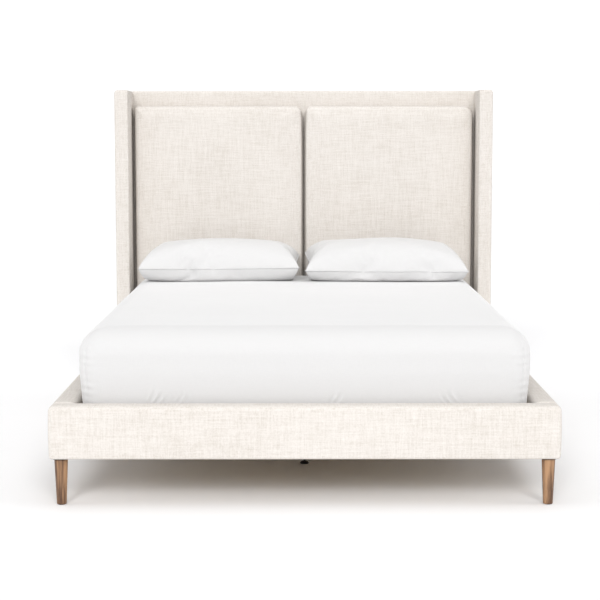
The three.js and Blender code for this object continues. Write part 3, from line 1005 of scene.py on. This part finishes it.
def add_pillow(side):
    node = f"pillow_{side}"
    low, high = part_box(node)
    points, faces, border = envelope(*PILLOWCASE, spacing=0.015, puff=0.03)
    piece = add_object(f"pillow_case_{side}", points + (0, 0, PILLOW_DROP), faces, "pillow_cotton")
    settle(piece, frames=50, pressure=PILLOW_PRESSURE, gravity=1.0, weight=0.015, floor=0)
    points = points_of(piece)
    points[:, :2] *= SIDES[side]  # so that the two lie the opposite way round
    points[:, Z] = flatten_under(points[:, Z], PILLOW_PRESS)
    points = fit_to_box(lay_corners(plump_ends(points), side), low, high)
    move_points(piece, points)
    refine(piece)
    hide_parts(node)
    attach(piece, node)
    seam = add_object(f"pillow_seam_{side}", *tube(points[border], SEAM_RADIUS), "pillow_cotton")
    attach(seam, node)


# ---- The frame's own parts ----

LEG_FOOT_RADIUS = 0.0165
LEG_GLIDE = 0.0015
LEG_EASE = 0.0025  # radius of the foot's edge


def add_leg(node):
    """A turned leg, tapered, with its edges eased and a glide under its foot."""
    low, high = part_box(node)
    centre = ((low.x + high.x) / 2, (low.y + high.y) / 2, 0)
    top_radius = (high.x - low.x) / 2
    profile = [(0, LEG_GLIDE)]
    for turn in range(0, 91, 30):
        angle = math.radians(turn)
        radius = LEG_FOOT_RADIUS - LEG_EASE * (1 - math.sin(angle))
        profile.append((radius, LEG_GLIDE + LEG_EASE * (1 - math.cos(angle))))
    for share in np.linspace(0.1, 0.9, 9):
        radius = LEG_FOOT_RADIUS + (top_radius - LEG_FOOT_RADIUS) * share
        profile.append((radius, high.z * share))
    profile += [(top_radius, high.z - 0.002), (top_radius - 0.0006, high.z - 0.0006)]
    profile += [(top_radius - 0.002, high.z), (0, high.z)]
    leg = add_object(node.replace("leg", "turned_leg"), *lathe(profile, centre), "leg_wood")
    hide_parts(node)
    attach(leg, FRAME)
    glide_radius = LEG_FOOT_RADIUS - 0.004
    flat = [(0, 0), (glide_radius - 0.001, 0), (glide_radius, 0.0008), (glide_radius, 0.003), (0, 0.003)]
    glide = add_object(node.replace("leg", "glide"), *lathe(flat, centre), "nylon")
    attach(glide, FRAME)


BOARD_EASE = 0.0025  # radius of a board's edges


def add_board(node, look):
    """A board with eased edges."""
    ease = BOARD_EASE
    low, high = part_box(node)
    thickness_axis = int(np.argmin(high - low))
    slab = Slab(low, high, thickness_axis, spacing=0.2, fine=ease, reach=2 * ease)
    slab.round_outline(ease).round_edge(ease, True).round_edge(ease, False)
    piece = slab.build(f"{node}_board", look)
    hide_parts(node)
    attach(piece, FRAME)


def screw_head(place, axis, direction, radius=0.0055):
    """A pan head with a socket, standing on the surface that it holds down."""
    dome = [(radius, 0), (radius, 0.4), (0.9 * radius, 0.75), (0.6 * radius, 1.0)]
    socket = [(0.45 * radius, 1.0), (0.4 * radius, 0.3)]
    height = 0.6 * radius
    profile = [(0, 0)] + [(r, share * height) for r, share in dome + socket] + [(0, 0.3 * height)]
    points, faces = lathe(profile, (0, 0, 0), 18)
    turned = np.roll(points, axis + 1, axis=1)
    turned[:, axis] *= direction
    if direction < 0:
        faces = [face[::-1] for face in faces]
    return turned + place, faces


def add_screws(name, heads):
    piece = add_object(name, *joined(heads), "zinc")
    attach(piece, FRAME)


HOLE_SHARES = (0.3, 0.75)  # along each arm of a bracket, from its corner
STEEL = 0.003  # thickness of a bracket


def add_bracket_screws():
    """Screws through each bracket's two plates, into the side rail and into the rail or headboard."""
    heads = []
    for kind, end in (("corner", -1), ("head", 1)):
        for side, sign in SIDES.items():
            low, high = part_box(f"{kind}_bracket_{side}")
            height = (low.z + high.z) / 2
            wall_x = high.x if sign > 0 else low.x
            wall_y = low.y if end < 0 else high.y
            for share in HOLE_SHARES:
                x = wall_x - sign * share * (high.x - low.x)
                y = wall_y - end * share * (high.y - low.y)
                heads.append(screw_head((wall_x - sign * STEEL, y, height), X, -sign))
                heads.append(screw_head((x, wall_y - end * STEEL, height), Y, -end))
    add_screws("bracket_screws", heads)


SLAT_SCREW = 0.0045  # radius of the head
SLAT_SCREW_SUNK = 0.0024
SLAT_HOLE_SHARES = (0.25, 0.75)  # across each slat


def add_slat_screws():
    """Two screws at each end of each slat, into the ledgers, their heads sunk to just above the wood."""
    heads = []
    for slat in SLATS:
        low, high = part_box(slat)
        for side in SIDES:
            ledger_low, ledger_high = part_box(f"slat_ledger_{side}")
            x = (ledger_low.x + ledger_high.x) / 2
            for share in SLAT_HOLE_SHARES:
                y = low.y + share * (high.y - low.y)
                heads.append(screw_head((x, y, high.z - SLAT_SCREW_SUNK), Z, 1, SLAT_SCREW))
    add_screws("slat_screws", heads)


SOCKET_RADIUS, SOCKET_DEPTH = 0.0056, 0.046  # of the hole for a leveller's stem


def add_support(end):
    """A steel support leg with eased edges and a socket, and the screw leveller in it."""
    low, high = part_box(f"support_leg_{end}")
    centre = ((low.x + high.x) / 2, (low.y + high.y) / 2, 0)
    radius = (high.x - low.x) / 2
    outside = [(radius - 0.002, low.z), (radius, low.z + 0.002), (radius, high.z - 0.002)]
    socket_top = low.z + SOCKET_DEPTH
    profile = [(0, socket_top), (SOCKET_RADIUS, socket_top), (SOCKET_RADIUS, low.z), *outside]
    profile += [(radius - 0.001, high.z), (0, high.z)]
    leg = add_object(f"support_tube_{end}", *lathe(profile, centre), "black_steel")
    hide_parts(f"support_leg_{end}")
    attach(leg, FRAME)
    add_leveller(end, centre)


THREAD_PITCH, THREAD_DEPTH = 0.0015, 0.0007
STEM_RADIUS = 0.0048
CAP_TOP = 0.0084  # of the leveller's foot, where its stem begins


def add_leveller(end, centre):
    """A round foot with eased rims, and a stem ridged as a thread is."""
    node = f"leveller_{end}"
    low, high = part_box(node)
    radius = (high.x - low.x) / 2
    stem = STEM_RADIUS
    profile = [(0, 0), (radius - 0.0015, 0), (radius, 0.001), (radius, 0.0028), (radius - 0.0008, 0.0036)]
    profile += [(0.0135, 0.0078), (0.0125, CAP_TOP), (stem, CAP_TOP)]
    for height in np.arange(0.0095, high.z - 0.002, THREAD_PITCH):
        profile += [(stem, height), (stem - THREAD_DEPTH, height + THREAD_PITCH / 2)]
    profile += [(stem - 0.0008, high.z), (0, high.z)]
    piece = add_object(f"screw_leveller_{end}", *lathe(profile, centre, 32), "nylon")
    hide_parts(node)
    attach(piece, node)


def dress_cad_nodes():
    """Gives each CAD node that stays visible the material of its slot."""
    for entry in frame["record"]["subparts"]:
        node = frame["nodes"][entry["node"]]
        node.data.materials.clear()
        node.data.materials.append(looks[entry["material_slot"]])


looks = {}  # every material, by slot


def main():
    add_camera()
    add_floor()
    add_light()
    looks.update(add_looks())
    dress_cad_nodes()
    add_headboard_cover()
    add_back_cover()
    for side in SIDES:
        add_wing(side)
        add_pad(side)
        add_rail(f"side_rail_{side}")
        add_pillow(side)
        add_board(f"slat_ledger_{side}", "pine")
        for end in ("front", "rear"):
            add_leg(f"leg_{end}_{side}")
    add_rail("foot_rail")
    add_board("centre_beam", "pine")
    for slat in SLATS:
        add_board(slat, "slat_wood")
    for end in ("foot", "head"):
        add_support(end)
    add_bracket_screws()
    add_slat_screws()
    add_mattress()
    add_sheet()


main()
